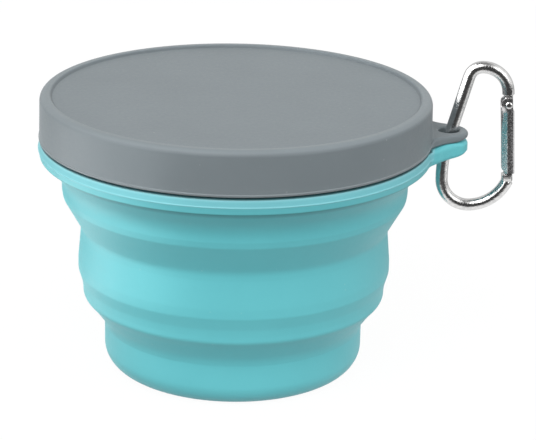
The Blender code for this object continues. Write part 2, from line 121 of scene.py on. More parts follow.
def roundedLine(corners, run=0.0016, turn=6.0):
    # Line through (radius, height, rounding) corners. Each inner corner becomes the arc of that radius
    # which touches both its sides, in steps of turn degrees; straight stretches get a point every run.
    spots = np.array([corner[:2] for corner in corners], float)
    chain = [spots[:1]]
    for last, spot, following, (*_, rounding) in zip(spots, spots[1:], spots[2:], corners[1:]):
        toLast, toNext = unit(last - spot), unit(following - spot)
        half = 0.5 * math.acos(float(np.clip(toLast @ toNext, -1, 1)))
        sweep = math.pi - 2 * half
        centre = spot + unit(toLast + toNext) * rounding / math.sin(half)
        cut = rounding / math.tan(half)
        share = np.linspace(0, 1, max(2, math.ceil(math.degrees(sweep) / turn)) + 1)[:, None]
        start, finish = spot + toLast * cut - centre, spot + toNext * cut - centre
        arc = np.sin((1 - share) * sweep) * start + np.sin(share * sweep) * finish
        chain.append(centre + arc / math.sin(sweep))
    line = np.vstack(chain + [spots[-1:]])
    lengths = np.linalg.norm(np.diff(line, axis=0), axis=1)
    line = line[np.hstack([True, lengths > tiny])]
    lengths = np.linalg.norm(np.diff(line, axis=0), axis=1)
    counts = np.maximum(1, np.ceil(lengths / run)).astype(int)
    steps = np.hstack([np.arange(count) / count + k for k, count in enumerate(counts)] + [len(counts)])
    return np.stack([np.interp(steps, np.arange(len(line)), axis) for axis in line.T], -1)


def between(line, low, high):
    # The stretch of a rising line between two heights, with its ends exactly at them.
    radius, height = line.T
    inside = line[(height > low + tiny) & (height < high - tiny)]
    ends = [[np.interp(z, height, radius), z] for z in (low, high)]
    return np.vstack([ends[:1], inside, ends[1:]])


def straight(start, finish, count):
    # Evenly spaced points from start towards finish, which is left out; radii may differ by column.
    share = np.linspace(0, 1, count, endpoint=False)[:, None]
    return [a + (b - a) * share for a, b in zip(start, finish)]


def bend(centre, radius, first, last, count):
    # Points on an arc between two angles in degrees; the last is left out.
    angle = np.radians(np.linspace(first, last, count, endpoint=False))[:, None]
    return [centre[0] + radius * np.cos(angle), centre[1] + radius * np.sin(angle)]


def smooth(share):
    # Three times the square less twice the cube, of a share kept between 0 and 1.
    share = np.clip(share, 0, 1)
    return share * share * (3 - 2 * share)


def rowsOf(line):
    # The radii and the heights of a line, each as rows with one column.
    return line.T[..., None]


def stacked(parts, columns):
    # Joins the stretches of a profile, with a value in each column.
    return [np.vstack([part[axis] + np.zeros(columns) for part in parts]) for axis in (0, 1)]


# The bowl's levels and radii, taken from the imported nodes

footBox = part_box("base_cup")
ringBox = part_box("middle_ring")
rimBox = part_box("bowl_rim")
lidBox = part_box("lid")
lowerBox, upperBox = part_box("lower_fold"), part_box("upper_fold")
footTop = (footBox[1].z + lowerBox[0].z) / 2
ringBottom = (lowerBox[1].z + ringBox[0].z) / 2
ringTop = (ringBox[1].z + upperBox[0].z) / 2
rimBottom = (upperBox[1].z + rimBox[0].z) / 2
collarTop = rimBox[1].z
flangeRadius = rimBox[1].y
lidGap = 0.0003
flangeTop = lidBox[0].z - lidGap
lidRadius = lidBox[1].y

tabs = {
    "endRadius": 0.0067,
    "reach": lidBox[1].x,
    "holeReach": Vector(joints["carabiner_swivel"]["pos_m"]).x,
    "holeRadius": 0.0034,
    "holeBreak": 0.0004,  # width of the bevel round each hole's upper edge
    "coneWidth": 0.0016,  # and of the whole cone that cuts it
    "holeSides": 64,
    "arcPoints": 80,  # in each arc of the outline
    "blend": 0.0025,  # where the tab stands out this far its own section is reached
    # columns over the tab's end, its flares and the rest: from, to and step, in degrees
    "columns": ((0, 8.0, 0.2), (8.0, 27.0, 0.5), (27.0, 180, 1.5)),
}

plainAngles = fullTurn(240)
halfTurn = np.hstack([np.arange(*stretch) for stretch in tabs["columns"]])
tabAngles = np.radians(np.hstack([halfTurn, 180, -halfTurn[:0:-1]]))


def tabPush(body, flare):
    # How far the tab stands out of a round body in each direction. Its outline is the end circle, and
    # on each side an arc of radius flare that touches both that circle and the body's.
    endRadius = tabs["endRadius"]
    end = tabs["reach"] - endRadius
    toBody, toEnd = body + flare, endRadius + flare
    flareX = (toBody ** 2 - toEnd ** 2 + end ** 2) / (2 * end)
    flareY = math.sqrt(toBody ** 2 - flareX ** 2)
    endTurn = math.atan2(flareY, flareX - end)
    turns = math.pi + np.linspace(math.atan2(flareY, flareX), endTurn, tabs["arcPoints"])
    tip = np.linspace(endTurn, 0, tabs["arcPoints"])
    x = np.hstack([flareX + flare * np.cos(turns), end + endRadius * np.cos(tip)])
    y = np.hstack([flareY + flare * np.sin(turns), endRadius * np.sin(tip)])
    direction = np.abs((tabAngles + math.pi) % (2 * math.pi) - math.pi)
    polar = np.arctan2(y, x)
    return np.interp(direction, polar[::-1], (np.hypot(x, y) - body)[::-1], right=0)


def tabZone(plain, tab, push):
    # The rows of a plain section and of the tab's, mixed by how far the tab stands out in each
    # direction. Both are listed downwards and returned upwards.
    part = smooth(push / tabs["blend"])
    plain, tab = (stacked(section, len(push)) for section in (plain, tab))
    return [(a + (b - a) * part)[::-1] for a, b in zip(plain, tab)]


def pierced(piece, top, depth):
    # Cuts the carabiner's hole: a cylinder that widens to a cone at the tab's upper face.
    hole, bevel, wide = tabs["holeRadius"], tabs["holeBreak"], tabs["coneWidth"]
    radius, height = np.array([hole, hole, hole + wide]), np.array([-depth, -bevel, wide - bevel])
    grid = around(radius, height + top, fullTurn(tabs["holeSides"]))
    cutter = gridPiece("holeCutter", grid + np.array([tabs["holeReach"], 0, 0]))
    cut = piece.modifiers.new("hole", "BOOLEAN")
    cut.operation = "DIFFERENCE"
    cut.solver = "EXACT"
    cut.object = cutter
    shape = bpy.data.meshes.new_from_object(piece.evaluated_get(bpy.context.evaluated_depsgraph_get()))
    piece.modifiers.clear()
    plain, piece.data = piece.data, shape
    shape.name = piece.name
    bpy.data.meshes.remove(plain)
    bpy.data.objects.remove(cutter, do_unlink=True)
    smoothed(shape)
    return piece


# Materials

noiseRange = 0.3, 0.7  # where most values of a soft noise lie
wearRange = 0.35, 0.65  # and those of the metal's noises


def feed(tree, node, inputs):
    # Gives each input of a node its constant or its link.
    for key, value in inputs.items():
        if isinstance(value, bpy.types.NodeSocket):
            tree.links.new(value, node.inputs[key])
        else:
            node.inputs[key].default_value = value


def add(tree, kind, inputs, **settings):
    # A new node with its settings and inputs; returns its outputs.
    node = tree.nodes.new("ShaderNode" + kind)
    for name, value in settings.items():
        setattr(node, name, value)
    feed(tree, node, inputs)
    return node.outputs


def ramp(tree, source, low, high, first=0, last=1):
    # A number that runs from first to last as the source runs from low to high.
    ends = {"From Min": low, "From Max": high, "To Min": first, "To Max": last}
    return add(tree, "MapRange", {"Value": source, **ends})["Result"]


def noise(tree, place, scale, detail=2.0, roughness=0.5):
    inputs = {"Vector": place, "Scale": scale, "Detail": detail, "Roughness": roughness}
    return add(tree, "TexNoise", inputs)["Fac"]


def math2(tree, operation, first, second=0.0):
    return add(tree, "Math", {0: first, 1: second}, operation=operation)[0]


def times(tree, first, second):
    return math2(tree, "MULTIPLY", first, second)


def mixed(tree, share, first, second, kind="FLOAT"):
    # first + share * (second - first), for numbers or colours, or sockets of them.
    return add(tree, "Mix", {"Factor": share, "A": first, "B": second}, data_type=kind)["Result"]


def bumped(tree, strength, depth, height):
    return add(tree, "Bump", {"Strength": strength, "Distance": depth, "Height": height})["Normal"]


def axes(tree, kind="Object"):
    # X, Y and Z of a place on the object or, with Generated, of a direction in the world.
    split = add(tree, "SeparateXYZ", {0: add(tree, "TexCoord", {})[kind]})
    return [split[axis] for axis in "XYZ"]


def newGroup(name, inputs, outputs):
    # An empty node group, the sockets of its inputs and its output node.
    tree = bpy.data.node_groups.new(name, "ShaderNodeTree")
    for way, names in (("INPUT", inputs), ("OUTPUT", outputs)):
        for socket in names:
            tree.interface.new_socket(socket, in_out=way, socket_type="NodeSocketFloat")
    return tree, tree.nodes.new("NodeGroupInput").outputs, tree.nodes.new("NodeGroupOutput")


mould = {
    "rippleScale": 420.0,
    "rippleShare": 1.6,
    "fleckScale": 260.0,
    "fleckEdge": (0.05, 0.09),  # a fleck fades out between these distances from its middle
    "patchScale": 130.0,
    "patchEdge": (0.55, 0.62),  # flecks are seen only where a slow noise is above these values
    "glossScale": 900.0,
    "glossChange": (-0.04, 0.05),
    "bump": 0.35,
    "bumpDepth": 0.00006,
    "sheen": 0.10,
    "sheenRoughness": 0.45,
}


def mouldedGrainGroup():
    # Fine matt grain of a blasted mould: a height for bump, a slow tone change and sparse pale dust.
    tree, given, out = newGroup("mouldedGrain", ("Grain Scale", "Tone Scale", "Dust"),
                                ("Height", "Tone", "Dust Mask", "Gloss Change"))
    place = add(tree, "TexCoord", {})["Object"]
    fine = noise(tree, place, given["Grain Scale"], 2.0, 0.6)
    ripple = noise(tree, place, mould["rippleScale"])
    flecks = add(tree, "TexVoronoi", {"Scale": mould["fleckScale"], "Vector": place})["Distance"]
    spots = ramp(tree, flecks, *mould["fleckEdge"], 1, 0)
    patch = ramp(tree, noise(tree, place, mould["patchScale"], 1.0), *mould["patchEdge"])
    feed(tree, out, {
        "Height": math2(tree, "ADD", fine, times(tree, ripple, mould["rippleShare"])),
        "Tone": noise(tree, place, given["Tone Scale"], 3.0, 0.55),
        "Dust Mask": times(tree, times(tree, spots, patch), given["Dust"]),
        "Gloss Change": noise(tree, place, mould["glossScale"], 2.0, 0.6),
    })
    return tree


bandInputs = "Low", "High", "Inner Radius", "Outer Radius", "Fade", "Strength"


def bandMaskGroup():
    # A ring round the axis where light or shade is painted: 1 between two heights and two radii, with soft
    # limits.
    tree, given, out = newGroup("paintedLightBandMask", bandInputs, ("Mask",))
    x, y, z = axes(tree)
    radius = math2(tree, "SQRT", math2(tree, "ADD", times(tree, x, x), times(tree, y, y)))
    mask = given["Strength"]
    for first, second in ((z, given["Low"]), (given["High"], z),
                          (radius, given["Inner Radius"]), (given["Outer Radius"], radius)):
        depth = math2(tree, "DIVIDE", math2(tree, "SUBTRACT", first, second), given["Fade"])
        mask = times(tree, mask, ramp(tree, depth, -0.5, 0.5))
    feed(tree, out, {"Mask": mask})
    return tree


def bandsFrom(level, radius, paintedLightBands):
    # Bands whose two heights are counted from a level and whose two radii from a radius.
    return [(level + low, level + high, radius + inner, radius + outer, *others)
            for low, high, inner, outer, *others in paintedLightBands]


def banded(tree, colour, paintedLightBands):
    # Lays each band's painted light or shade colour over the given one, as far as its mask says.
    for *values, paintedLightColour in paintedLightBands:
        mask = add(tree, "Group", dict(zip(bandInputs, values)), node_tree=bandGroup)["Mask"]
        colour = mixed(tree, mask, colour, paintedLightColour, "RGBA")
    return colour


def newMaterial(name):
    made = bpy.data.materials.new(name)
    made.use_nodes = True
    return made, made.node_tree, made.node_tree.nodes["Principled BSDF"]


def siliconeMaterial(name, look):
    made, tree, shader = newMaterial(name)
    grain = add(tree, "Group", look["grain"], node_tree=grainGroup)
    tone = ramp(tree, grain["Tone"], *noiseRange)
    colour = mixed(tree, tone, look["deep"], look["pale"], "RGBA")
    colour = mixed(tree, grain["Dust Mask"], colour, look["dustColour"], "RGBA")
    least, most = (look["roughness"] + change for change in mould["glossChange"])
    feed(tree, shader, {
        "Base Color": banded(tree, colour, look["paintedLightBands"]),
        "Roughness": ramp(tree, grain["Gloss Change"], *noiseRange, least, most),
        "Normal": bumped(tree, mould["bump"], mould["bumpDepth"], grain["Height"]),
        "IOR": look["ior"],
        "Sheen Weight": mould["sheen"],
        "Sheen Roughness": mould["sheenRoughness"],
    })
    return made


def metalMaterial(name, look):
    made, tree, shader = newMaterial(name)
    place = add(tree, "TexCoord", {})["Object"]
    smudge = ramp(tree, noise(tree, place, look["smudgeScale"], 3.0, 0.6), *wearRange)
    pits = noise(tree, place, metal["pitScale"], 1.0)
    ripple = noise(tree, place, metal["rippleScale"])
    height = math2(tree, "ADD", pits, times(tree, ripple, look["ripple"]))
    least, most = (look["roughness"] * share for share in metal["wearShares"])
    worn = noise(tree, place, look["wearScale"], 3.0, 0.7)
    feed(tree, shader, {
        "Base Color": mixed(tree, smudge, look["deep"], look["pale"], "RGBA"),
        "Roughness": ramp(tree, worn, *wearRange, least, most),
        "Normal": bumped(tree, look["bump"], metal["bumpDepth"], height),
        "Metallic": 1.0,
    })
    return made


# Each band of painted light or shade: low, high, inner, outer, fade, strength and colour
turquoiseLook = {
    "deep": (0.139, 0.595, 0.650, 1),
    "pale": (0.147, 0.618, 0.673, 1),
    "dustColour": (0.45, 0.72, 0.75, 1),
    "roughness": 0.50,
    "grain": {"Grain Scale": 3800.0, "Tone Scale": 50.0, "Dust": 0.25},
    "ior": 1.52,
    "paintedLightBands": bandsFrom(flangeTop, flangeRadius, [
        # painted highlights: the flange's upper band, its top edge and the moulding line, paler and whiter
        (-0.0029, 0.0010, -0.0009, 0.0008, 0.0004, 1.0, (0.180, 0.580, 0.640, 1)),
        (-0.0010, 0.0010, -0.0012, 0.0008, 0.0006, 1.0, (0.252, 0.655, 0.720, 1)),
        (-0.0029, -0.0023, -0.0009, 0.0008, 0.0002, 1.0, (0.240, 0.660, 0.725, 1)),
        # painted shade: the flare under the flange, and a narrow line right below it, darker
        (-0.0066, -0.0050, -0.0045, 0.0008, 0.0012, 0.34, (0.008, 0.150, 0.170, 1)),
        (-0.0056, -0.0049, -0.0045, -0.0003, 0.0003, 0.60, (0.008, 0.120, 0.140, 1)),
        # and painted shade in the crease between the flange and the lid
        (-0.0004, 0.0001, -0.0040, 0.0002, 0.0003, 0.90, (0.006, 0.060, 0.070, 1)),
    ]),
}
greyLook = {
    "deep": (0.199, 0.233, 0.250, 1),
    "pale": (0.213, 0.248, 0.266, 1),
    "dustColour": (0.50, 0.53, 0.55, 1),
    "roughness": 0.46,
    "grain": {"Grain Scale": 3400.0, "Tone Scale": 42.0, "Dust": 0.30},
    "ior": 1.34,
    # painted highlight: the edge of the lip at the lid's foot is paler
    "paintedLightBands": bandsFrom(lidBox[0].z, lidRadius, [
        (0.00080, 0.00118, -0.00020, 0.0010, 0.00015, 0.30, (0.330, 0.370, 0.390, 1)),
    ]) + bandsFrom(lidBox[1].z, lidRadius, [
        # a painted highlight on the bead round the panel too, and painted shade in a darker crease at its
        # inner foot
        (-0.0009, 0.0010, -0.0034, 0.0010, 0.0005, 1.0, (0.242, 0.279, 0.297, 1)),
        (-0.0011, -0.0003, -0.00422, -0.0035, 0.0003, 0.30, (0.050, 0.060, 0.068, 1)),
    ]),
}
metal = {
    "pitScale": 5200.0,
    "rippleScale": 2200.0,
    "bumpDepth": 0.00004,
    "wearShares": (0.5, 1.6),  # of the roughness, where the metal is least and most worn
}
brightLook = {"deep": (0.64, 0.64, 0.64, 1), "pale": (0.80, 0.79, 0.78, 1), "roughness": 0.12,
              "smudgeScale": 700.0, "wearScale": 1700.0, "bump": 0.52, "ripple": 3.0}
gateLook = {"deep": (0.60, 0.60, 0.61, 1), "pale": (0.78, 0.77, 0.77, 1), "roughness": 0.24,
            "smudgeScale": 900.0, "wearScale": 2300.0, "bump": 0.28, "ripple": 2.0}
steelLook = {"deep": (0.36, 0.36, 0.38, 1), "pale": (0.52, 0.52, 0.54, 1), "roughness": 0.24,
             "smudgeScale": 1500.0, "wearScale": 2000.0, "bump": 0.20, "ripple": 0.0}

grainGroup = mouldedGrainGroup()
bandGroup = bandMaskGroup()
turquoise = siliconeMaterial("turquoiseSilicone", turquoiseLook)
grey = siliconeMaterial("greySilicone", greyLook)
brightMetal = metalMaterial("brightMetal", brightLook)
gateMetal = metalMaterial("gateMetal", gateLook)
springSteel = metalMaterial("springSteel", steelLook)
print("materials made")


def paint(piece, material):
    piece.data.materials.clear()
    piece.data.materials.append(material)


def dress(piece, material, slot, *nodes):
    paint(piece, material)
    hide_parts(*nodes)


# Bowl: one wall line outside and one inside, shared by the foot, the folds, the ring and the rim

bowl = {
    "wall": 0.0023,
    "foldWall": 0.0018,
    "floor": 0.0030,
    "footRound": 0.0073,
    "floorCorner": 0.0045,
    "footCrease": 0.0085,  # rounding of the two inward creases
    "ringCrease": 0.0045,
    "shoulder": 0.0024,  # rounding of the two outward ones
    "seamInFoot": 0.0015,  # how far each seam lies inside the stiffer part beside the fold
    "seamInRing": 0.0014,
    "seamInRim": 0.0020,
    "centre": 0.001,  # radius at which a fan closes the floor, and the lid's panel
}

footRadius = footBox[1].x
ringFoot = lowerBox[1].x
ringRadius = ringBox[1].x
ringNeck = ringRadius - 0.0008
rimFoot = upperBox[1].x
rimRadius = rimFoot + 0.0003
rim = {
    "flareBottom": rimBottom + 0.0063,
    "flangeBottom": flangeTop - 0.0051,
    "flareTopRadius": flangeRadius - 0.0016,
    "bandTopRadius": flangeRadius - 0.00045,
    "bandFootRadius": flangeRadius - 0.0005,
    "bandFoot": 0.00025,  # rounding of the band's lower edge
    "crease": 0.0021,  # height of the crease above the band's lower edge
    "ridge": 0.00014,  # how far the moulding line stands out along the crease
    "ridgeHeight": 0.0006,
    "edge": 0.0008,
    "tabEdge": 0.0016,
    "tabFoot": 0.0010,  # rounding of the tab's lower edge
    "tabFlare": 0.0200,
    "tabTip": 0.0036,  # thickness at the tip, without the rise
    "tabRise": 0.00085,  # how far the tip's top stands above the flange's
    "riseSpeed": 1.6,  # the rise is complete before the tip by this factor
    "riseAtHole": 0.8,  # share of the rise at the hole's bevel
    "tabCrease": 0.0011,
    "tabLean": 0.0003,  # how far the tab's side leans in below its crease
    "rows": (14, 9, 6, 8, 6, 6, 6),  # in each stretch of the section
    "collarRadius": lidRadius - 0.0027,
    "collarWall": 0.0024,
    "collarRound": 0.0009,
    "collarFoot": 0.0006,
    "cutPast": 0.003,  # the hole's cutter is this much longer than the flange is high
}

wall, foldWall, shoulder = bowl["wall"], bowl["foldWall"], bowl["shoulder"]
innerFlare = (rimRadius - wall, rim["flareBottom"] + 0.0010, 0.0025)
innerNeck = (rim["collarRadius"] - rim["collarWall"], rim["flangeBottom"] + 0.0030)
# Corners of the wall from the foot up: radius, height and rounding
outerCorners = [
    (footRadius, footBox[0].z + bowl["footRound"], 0),
    (footRadius, footTop - 0.0001, bowl["footCrease"]),
    (ringFoot - 0.0024, ringBottom - 0.0025, 0.010),
    (ringFoot, ringBottom + 0.0002, shoulder),
    (ringFoot + 0.0001, ringBottom + 0.0024, 0.004),
    (ringFoot + 0.0004, ringBottom + 0.0048, 0.004),
    (ringRadius, ringBottom + 0.0088, 0.0030),
    (ringRadius, ringBottom + 0.0118, 0.008),
    (ringNeck, ringTop - 0.0026, 0.004),
    (ringNeck, ringTop + 0.0001, bowl["ringCrease"]),
    (rimFoot, rimBottom - 0.0002, shoulder),
    (rimRadius, rimBottom + 0.0018, 0.002),
    (rimRadius, rim["flareBottom"] - 0.0002, 0.0085),
    (rim["flareTopRadius"], rim["flangeBottom"], 0),
]
innerCorners = [
    (footRadius - wall, footTop - 0.004, 0),
    (footRadius - wall, footTop + 0.0002, 0.002),
    (ringFoot - 0.0025 - foldWall, ringBottom - 0.0025, 0.010),
    (ringFoot - wall, ringBottom + 0.0002, shoulder),
    (ringFoot + 0.0003 - wall, ringBottom + 0.0033, 0.006),
    (ringFoot + 0.0006 - wall, ringBottom + 0.0058, 0.003),
    (ringRadius - wall, ringBottom + 0.0091, 0.0022),
    (ringRadius - wall, ringBottom + 0.0118, 0.008),
    (ringNeck - wall, ringTop - 0.0026, 0.004),
    (ringNeck - wall, ringTop + 0.0008, bowl["ringCrease"]),
    (rimFoot - wall, rimBottom + 0.0010, shoulder),
    (rimRadius - wall, rimBottom + 0.0020, 0.002),
    innerFlare,
    (*innerNeck, 0),
]
outerWall = roundedLine(outerCorners)
innerWall = roundedLine(innerCorners)
seams = [footTop - bowl["seamInFoot"], ringBottom + bowl["seamInRing"],
         ringTop - bowl["seamInRing"], rimBottom + bowl["seamInRim"]]


def wallPiece(name, low, high):
    # The wall's outside between two heights and back down its inside, turned round the axis.
    line = np.vstack([between(outerWall, low, high), between(innerWall, low, high)[::-1]])
    return gridPiece(name, around(*line.T, plainAngles), loop=True)


def footPiece(name):
    # From the middle of the underside out, up the wall to the seam, down the inside and across the floor.
    bottom, floor, inside = footBox[0].z, bowl["floor"], footRadius - wall
    under = [(bowl["centre"], bottom, 0), (footRadius, bottom, bowl["footRound"]), (footRadius, seams[0], 0)]
    over = [(inside, seams[0], 0), (inside, floor, bowl["floorCorner"]), (bowl["centre"], floor, 0)]
    line = np.vstack([roundedLine(corners, run=0.003) for corners in (under, over)])
    return gridPiece(name, around(*line.T, plainAngles))


def rimTabZone():
    # From the collar's foot over the flange's outer edge to the flare, plain and with the tab.
    push = tabPush(flangeRadius, rim["tabFlare"])
    top, bottom, rows, ridge = flangeTop, rim["flangeBottom"], rim["rows"], rim["ridge"]
    inner = rim["collarRadius"] + rim["collarFoot"]

    def section(band, side, sideFoot, edge, crease, low, foot):
        # Top, edge, upper band, moulding line, lower band, its rounded foot and the underside.
        ridgeTop = crease + rim["ridgeHeight"]
        return [
            straight((inner, top), (band - edge, top), rows[0]),
            bend((band - edge, top - edge), edge, 90, 0, rows[1]),
            straight((band, top - edge), (side, ridgeTop), rows[2]),
            straight((side, ridgeTop), (side, crease), rows[3]),
            straight((side, crease), (sideFoot, low + foot), rows[4]),
            bend((sideFoot - foot, low + foot), foot, 0, -90, rows[5]),
            straight((sideFoot - foot, low), (rim["flareTopRadius"], bottom + 0 * push), rows[6]),
        ]

    plain = section(rim["bandTopRadius"], flangeRadius - ridge, rim["bandFootRadius"], rim["edge"],
                    bottom + rim["crease"], bottom, rim["bandFoot"])
    swell = np.sin(np.linspace(0, math.pi, rows[3], endpoint=False))[:, None] ** 2
    plain[3][0] = plain[3][0] + ridge * swell
    outer = flangeRadius + push
    share = push / push.max()
    low = bottom + (top - rim["tabTip"] - bottom) * share
    tab = section(outer, outer, outer - rim["tabLean"], rim["tabEdge"], low + rim["tabCrease"], low,
                  rim["tabFoot"])
    rise = rim["tabRise"] * smooth(share * rim["riseSpeed"])
    weights = np.linspace(0, 1, rows[0]), np.ones(1), np.linspace(1, 0, rows[2])
    for stretch, weight in zip(tab, weights):
        stretch[1] = stretch[1] + rise * weight[:, None]
    return tabZone(plain, tab, push)


def rimPiece(name):
    # Up the outside from the seam, round the flange and its tab, over the collar and down the inside.
    collar, inner = rim["collarRadius"], innerNeck[0]
    collarLine = roundedLine([
        (collar + rim["collarFoot"], flangeTop, 0),
        (collar, flangeTop, rim["collarFoot"] * 0.99),  # so that the arc ends short of the first point
        (collar, collarTop, rim["collarRound"]),
        (inner, collarTop, rim["collarRound"]),
        (*innerNeck, 0.002),
        innerFlare,
        (rimRadius - wall, seams[3], 0),
    ])
    upWall = rowsOf(between(outerWall, seams[3], rim["flangeBottom"]))
    rows = stacked([upWall, rimTabZone(), rowsOf(collarLine)], len(tabAngles))
    piece = gridPiece(name, around(*rows, tabAngles), loop=True)
    top = flangeTop + rim["tabRise"] * rim["riseAtHole"]
    return pierced(piece, top, flangeTop - rim["flangeBottom"] + rim["cutPast"])


foot = footPiece("bowlFoot")
lowerFold = wallPiece("lowerFold", seams[0], seams[1])
middleRing = wallPiece("middleRing", seams[1], seams[2])
upperFold = wallPiece("upperFold", seams[2], seams[3])
bowlRim = rimPiece("bowlRim")
for piece, node in ((foot, "base_cup"), (lowerFold, "lower_fold"), (middleRing, "middle_ring"),
                    (upperFold, "upper_fold"), (bowlRim, "bowl_rim")):
    dress(piece, turquoise, "bowl_silicone", node)
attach(foot, "base")
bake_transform(lowerFold)
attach(middleRing, "middle")
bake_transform(upperFold)
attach(bowlRim, "rim")
print("bowl made")


# Lid

lid = {
    "bottom": lidBox[0].z + 0.00025,
    "top": lidBox[1].z,
    "topRadius": lidRadius - 0.00018,
    "bodyRadius": lidRadius,  # above the tab
    "footRadius": lidRadius + 0.00006,  # above the lip
    "lipRadius": lidRadius + 0.00026,
    "lipHeight": 0.0006,
    "lipEdge": 0.00022,  # height of the bevel on the lip's top
    "wall": 0.0022,
    "panel": 0.0020,
    "panelCorner": 0.0012,  # rounding between the panel's underside and the skirt
    "recess": 0.0009,
    "edge": 0.0020,  # rounding of the bead's outer side
    "beadTop": 0.0013,  # from there to its inner side
    "beadInner": 0.0005,  # rounding of the inner side
    "slope": 0.0006,
    "groove": 0.00012,
    "footRound": 0.0002,
    "tabTop": lidBox[0].z + 0.0033,
    "tabTip": 0.0022,
    "tabEdge": 0.00105,
    "tabFlare": 0.0140,
    "tabFillet": 0.0008,
    "rows": (7, 14, 7, 5, 7, 15),  # in each stretch of the section
    "run": 0.004,
    "cutPast": 0.001,
}


def lidTabZone():
    # The skirt's lowest stretch from above the tab down to its inner edge, plain and with the tab.
    body, side, lip, tabTop = lid["bodyRadius"], lid["footRadius"], lid["lipRadius"], lid["tabTop"]
    fillet, edge, bottom, foot = lid["tabFillet"], lid["tabEdge"], lid["bottom"], lid["footRound"]
    push, rows = tabPush(body, lid["tabFlare"]), lid["rows"]
    start, lipTop = tabTop + fillet, bottom + lid["lipHeight"]
    inner = lidRadius - lid["wall"] + foot
    halfway = (start + lipTop) / 2
    plain = [
        straight((body, start), (body, halfway), rows[0]),
        straight((body, halfway), (side, lipTop + lid["lipEdge"]), rows[1]),
        straight((side, lipTop + lid["lipEdge"]), (lip, lipTop), rows[2]),
        straight((lip, lipTop), (lip, bottom + foot), rows[3]),
        bend((lip - foot, bottom + foot), foot, 0, -90, rows[4]),
        straight((lip - foot, bottom), (inner, bottom), rows[5]),
    ]
    outer = body + push
    share = push / push.max()
    low = bottom * (1 - share) + (tabTop - lid["tabTip"]) * share
    tab = [
        bend((body + fillet, start), fillet, 180, 270, rows[0]),
        straight((body + fillet, start - fillet), (outer - edge, start - fillet), rows[1]),
        bend((outer - edge, tabTop - edge), edge, 90, 0, rows[2]),
        straight((outer, tabTop - edge), (outer, low + edge), rows[3]),
        bend((outer - edge, low + edge), edge, 0, -90, rows[4]),
        straight((outer - edge, low), (inner, bottom + 0 * push), rows[5]),
    ]
    return tabZone(plain, tab, push)


def lidPiece(name):
    # From the middle of the panel's underside out, down the skirt's inside, round its foot and the tab,
    # up the outside, over the bead and across the sunken panel.
    inner, centre = lidRadius - lid["wall"], bowl["centre"]
    panelTop = lid["top"] - lid["recess"]
    under = roundedLine([
        (centre, panelTop - lid["panel"], 0),
        (inner, panelTop - lid["panel"], lid["panelCorner"]),
        (inner, lid["bottom"], lid["footRound"]),
        (inner + lid["footRound"], lid["bottom"], 0),
    ], lid["run"])
    beadInner = lid["topRadius"] - lid["edge"] - lid["beadTop"]
    over = roundedLine([
        (lid["bodyRadius"], lid["tabTop"] + lid["tabFillet"], 0),
        (lid["topRadius"], lid["top"], lid["edge"]),
        (beadInner, lid["top"], lid["beadInner"]),
        (beadInner - lid["slope"], panelTop, lid["groove"]),
        (centre, panelTop, 0),
    ], lid["run"], turn=5)
    rows = stacked([rowsOf(under[:-1]), lidTabZone(), rowsOf(over)], len(tabAngles))
    piece = gridPiece(name, around(*rows, tabAngles))
    return pierced(piece, lid["tabTop"], lid["tabTop"] - lid["bottom"] + lid["cutPast"])


lidCap = lidPiece("lidCap")
dress(lidCap, grey, "lid_silicone", "lid")
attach(lidCap, "lid")
print("lid made")


# Carabiner: drawn in its own plane from the rivet, u away from the bowl and v up

rod = {
    "radius": 0.00195,
    "endRun": 0.00107,
    "topGateBend": 0.00835,
    "topSpineBend": 0.0042,
    "spineLean": 18.4,
    "bowRadius": 0.0440,
    "bowTurn": 17.2,
    "bottomBend": 0.00885,
    "noseBend": 0.0135,
    "noseTurn": 70.0,
    "hangLean": 3.0,
    "rivetDrop": 0.0029,  # from the rod's end face to the rivet
    "endBreak": 0.00035,  # chamfer round the rod's end
    "tongueHalfWidth": 0.00145,
    "tongueHalfDepth": 0.00115,
    "tongueEnd": 0.0044,  # from the rod's end face to the tongue's tip
    "tongueGap": 0.00002,  # its last ring lies this far from the end face
    "tongueSquare": 5.0,  # exponent of the tongue's section; a round one has 2
    "tipTurn": 82,  # its round tip goes from this many degrees to 0
    "tipRings": 9,
    "bevelReach": 0.000525,  # the line's points nearer its start than this make way for the bevel
    "noseSteps": 8,  # and of this many at its end
    "noseReach": 0.0012,  # those less than this below it make way for the nose block
    # rings of the nose block and its catch: height over that end, half width, half depth, exponent
    "nose": (
        (-0.0011, 0.00150, 0.00165, 4.0),
        (-0.0007, 0.00172, 0.00188, 7.0),
        (0.0011, 0.00172, 0.00188, 7.0),
        (0.00125, 0.00150, 0.00165, 7.0),
        (0.00125, 0.0011, 0.0007, 6.0),
        (0.0030, 0.0011, 0.0007, 6.0),
        (0.0032, 0.0008, 0.0005, 6.0),
    ),
    "run": 0.0008,  # length of a step along a straight run
    "turnStep": 3,  # and degrees of one round a bend
    "sides": 48,
}
rivetPlace = np.array(joints["gate_hinge"]["pos_m"])


def placed(u, y, v):
    # World place of points given in the carabiner's plane, which leans by hangLean degrees.
    lean = math.radians(rod["hangLean"])
    x, z = u * math.cos(lean) - v * math.sin(lean), u * math.sin(lean) + v * math.cos(lean)
    return np.stack([x, y + 0 * u, z], -1) + rivetPlace


def towards(degrees):
    # (cos angle, sin angle)
    angle = np.radians(degrees)
    return np.stack([np.cos(angle), np.sin(angle)], -1)


